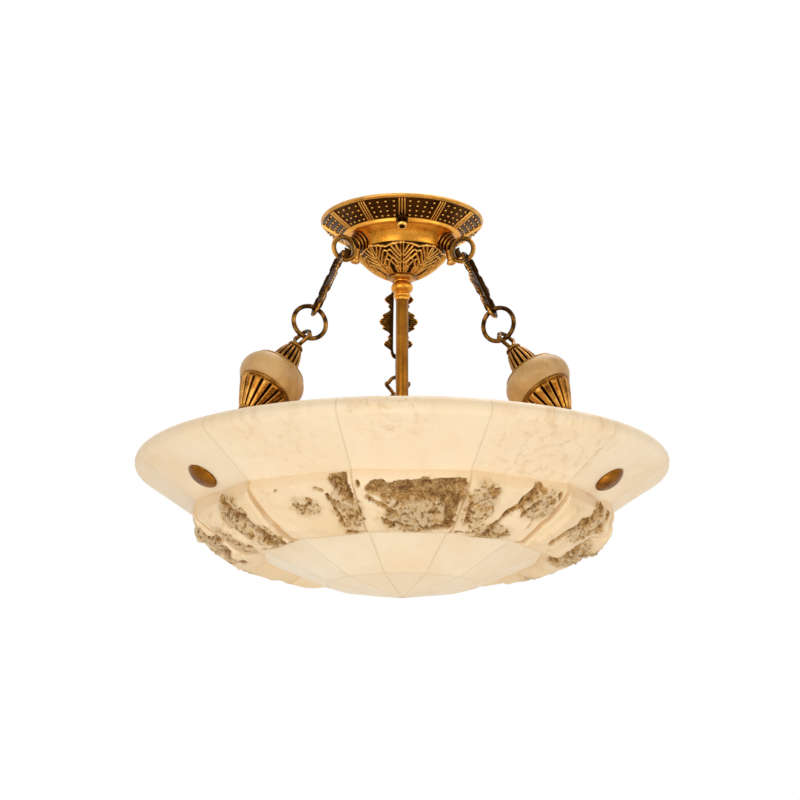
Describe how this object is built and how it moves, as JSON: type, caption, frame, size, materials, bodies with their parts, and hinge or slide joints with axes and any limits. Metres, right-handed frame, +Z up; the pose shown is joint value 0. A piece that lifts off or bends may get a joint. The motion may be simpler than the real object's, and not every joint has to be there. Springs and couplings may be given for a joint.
{
  "type": "alabaster bowl pendant",
  "caption": "Faceted alabaster bowl hung by cast brass links, rings and stone finials from a leafed ceiling canopy, with lamps on a central stem.",
  "frame": {"origin": "centre of the canopy's top rim, on the ceiling plane", "axes": "+Z up out of the ceiling, -Y towards the front, where one thumb screw is, +X to the right"},
  "size_m": [0.5, 0.5, 0.37],
  "materials": {
    "antique_brass": "cast, dark patina in the hollows, rubbed bright on the edges",
    "zinc_steel": "zinc plated",
    "black_plastic": "moulded",
    "lead_sheath": "smooth sheath",
    "holder_ceramic": "glazed",
    "frosted_glass": "frosted",
    "alabaster": "honed, faintly veined",
    "rough_alabaster": "split face with pits and dark crevices",
    "banded_stone": "polished, speckled"
  },
  "bodies": {
    "ceiling_unit": {"ceiling_bracket": "zinc_steel", "terminal_block": "black_plastic", "canopy_plate": "antique_brass", "canopy_dome": "antique_brass", "canopy_hook_left": "antique_brass", "canopy_hook_right": "antique_brass", "canopy_hook_back": "antique_brass", "stem_nuts": "zinc_steel", "stem_rod": "zinc_steel", "lamp_lead": "lead_sheath", "stem_knob": "antique_brass", "stem_tube": "antique_brass", "lamp_hub": "antique_brass", "lampholder_front": "holder_ceramic", "lampholder_right": "holder_ceramic", "lampholder_left": "holder_ceramic"},
    "bowl": {"rim_panel_01": "alabaster", "rim_panel_02": "alabaster", "rim_panel_03": "alabaster", "rim_panel_04": "alabaster", "rim_panel_05": "alabaster", "rim_panel_06": "alabaster", "rim_panel_07": "alabaster", "rim_panel_08": "alabaster", "rim_panel_09": "alabaster", "rim_panel_10": "alabaster", "rim_panel_11": "alabaster", "rim_panel_12": "alabaster", "rough_blocks": "rough_alabaster", "lower_panels": "alabaster", "base_panels": "alabaster", "finial_cap_left": "antique_brass", "finial_stone_left": "banded_stone", "finial_cup_left": "antique_brass", "finial_cap_right": "antique_brass", "finial_stone_right": "banded_stone", "finial_cup_right": "antique_brass", "finial_cap_back": "antique_brass", "finial_stone_back": "banded_stone", "finial_cup_back": "antique_brass", "hanger_rods": "antique_brass", "inner_nuts": "antique_brass", "cap_nuts": "antique_brass"},
    "link_left": {"chain_link_left": "antique_brass"},
    "ring_left": {"chain_ring_left": "antique_brass"},
    "link_right": {"chain_link_right": "antique_brass"},
    "ring_right": {"chain_ring_right": "antique_brass"},
    "link_back": {"chain_link_back": "antique_brass"},
    "ring_back": {"chain_ring_back": "antique_brass"},
    "bulb_front": {"bulb_front": "frosted_glass"},
    "thumb_screw_front": {"thumb_screw_front": "antique_brass"},
    "bulb_right": {"bulb_right": "frosted_glass"},
    "thumb_screw_right": {"thumb_screw_right": "antique_brass"},
    "bulb_left": {"bulb_left": "frosted_glass"},
    "thumb_screw_left": {"thumb_screw_left": "antique_brass"}
  },
  "joints": [
    {"name": "bowl_sway", "type": "hinge", "parent": "ceiling_unit", "child": "bowl", "pos_m": [0, 0, 0.10132], "axis": [0, 1, 0], "range_deg": [-3, 3]},
    {"name": "link_left_swing", "type": "hinge", "parent": "ceiling_unit", "child": "link_left", "pos_m": [-0.06062, -0.035, -0.0505], "axis": [0, 1, 0], "range_deg": [-8.65, 8.65]},
    {"name": "link_right_swing", "type": "hinge", "parent": "ceiling_unit", "child": "link_right", "pos_m": [0.06062, -0.035, -0.0505], "axis": [0, 1, 0], "range_deg": [-8.65, 8.65]},
    {"name": "link_back_swing", "type": "hinge", "parent": "ceiling_unit", "child": "link_back", "pos_m": [0, 0.07, -0.0505], "axis": [0, 1, 0], "range_deg": [-8.65, 8.65]},
    {"name": "ring_left_turn", "type": "hinge", "parent": "link_left", "child": "ring_left", "pos_m": [-0.08816, -0.0509, -0.11947], "axis": [0.3558, -0.9317, 0.0727], "continuous": true},
    {"name": "ring_right_turn", "type": "hinge", "parent": "link_right", "child": "ring_right", "pos_m": [0.08816, -0.0509, -0.11947], "axis": [0.5405, 0.8411, 0.0219], "continuous": true},
    {"name": "ring_back_turn", "type": "hinge", "parent": "link_back", "child": "ring_back", "pos_m": [0, 0.1018, -0.11947], "axis": [-1, 0, 0], "continuous": true},
    {"name": "bulb_front_turn", "type": "hinge", "parent": "ceiling_unit", "child": "bulb_front", "pos_m": [0, -0.06, -0.266], "axis": [0, -1, 0], "continuous": true},
    {"name": "bulb_right_turn", "type": "hinge", "parent": "ceiling_unit", "child": "bulb_right", "pos_m": [0.05196, 0.03, -0.266], "axis": [0.866, 0.5, 0], "continuous": true},
    {"name": "bulb_left_turn", "type": "hinge", "parent": "ceiling_unit", "child": "bulb_left", "pos_m": [-0.05196, 0.03, -0.266], "axis": [-0.866, 0.5, 0], "continuous": true},
    {"name": "thumb_screw_front_turn", "type": "hinge", "parent": "ceiling_unit", "child": "thumb_screw_front", "pos_m": [-0.00232, -0.05775, -0.01767], "axis": [-0.0216, -0.5389, -0.8421], "continuous": true},
    {"name": "thumb_screw_right_turn", "type": "hinge", "parent": "ceiling_unit", "child": "thumb_screw_right", "pos_m": [0.05118, 0.02687, -0.01767], "axis": [0.4775, 0.2507, -0.8421], "continuous": true},
    {"name": "thumb_screw_left_turn", "type": "hinge", "parent": "ceiling_unit", "child": "thumb_screw_left", "pos_m": [-0.04886, 0.03089, -0.01767], "axis": [-0.4558, 0.2882, -0.8421], "continuous": true}
  ],
  "couplings": [
    {"joint": "link_left_swing", "follows": "bowl_sway", "ratio": 2.8182},
    {"joint": "link_right_swing", "follows": "bowl_sway", "ratio": 2.8182},
    {"joint": "link_back_swing", "follows": "bowl_sway", "ratio": 2.8182}
  ]
}
